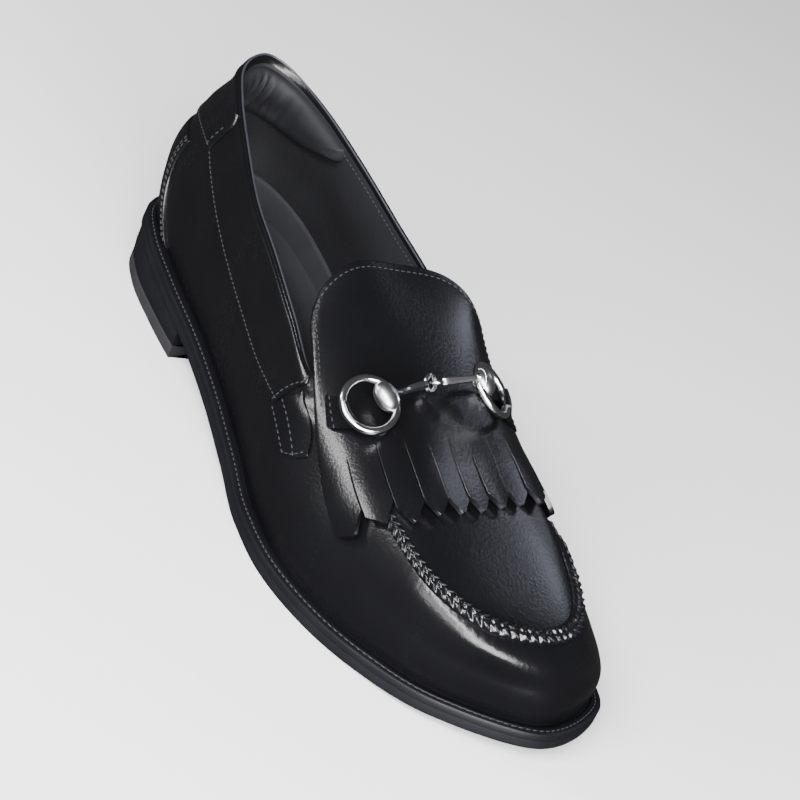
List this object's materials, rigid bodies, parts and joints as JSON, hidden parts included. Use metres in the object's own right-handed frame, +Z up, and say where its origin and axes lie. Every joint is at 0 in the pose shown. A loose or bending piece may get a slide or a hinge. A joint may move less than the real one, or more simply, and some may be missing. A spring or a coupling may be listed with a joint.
{
  "type": "bit loafer",
  "caption": "Low slip-on leather shoe with a moccasin toe, a fringed flap over the instep and a two-ring metal bit, on a leather sole with a stacked heel.",
  "frame": {"origin": "under the middle of the shoe's bounding box, on the floor", "axes": "+X from the heel to the toe, +Y to the inner side of the foot, +Z up"},
  "size_m": [0.3028, 0.1076, 0.0917],
  "materials": {
    "upper_leather": "polished smooth calf with a fine grain",
    "lining_leather": "smooth lining leather, satin",
    "insole_leather": "matte sock leather",
    "sole_leather": "stained and burnished edge, satin",
    "welt_leather": "stained welt, satin",
    "heel_leather": "stacked leather, stained and burnished",
    "lift_rubber": "moulded rubber, matte",
    "bit_metal": "polished nickel plate"
  },
  "bodies": {
    "root": {"upper": "upper_leather", "apron_seam": "upper_leather", "heel_seam": "upper_leather", "heel_counter_lateral": "upper_leather", "heel_counter_medial": "upper_leather", "collar_band_lateral": "upper_leather", "collar_band_medial": "upper_leather", "back_tab": "upper_leather", "side_tab_lateral": "upper_leather", "side_tab_medial": "upper_leather", "kiltie": "upper_leather", "bit_tab_lateral": "upper_leather", "bit_tab_medial": "upper_leather", "tongue": "lining_leather", "insole": "insole_leather", "outsole": "sole_leather", "welt": "welt_leather", "heel_stack": "heel_leather", "heel_top_lift": "lift_rubber", "bit_ring_lateral": "bit_metal", "bit_ring_medial": "bit_metal", "bit_bar_lateral": "bit_metal", "bit_bar_medial": "bit_metal"}
  },
  "joints": []
}
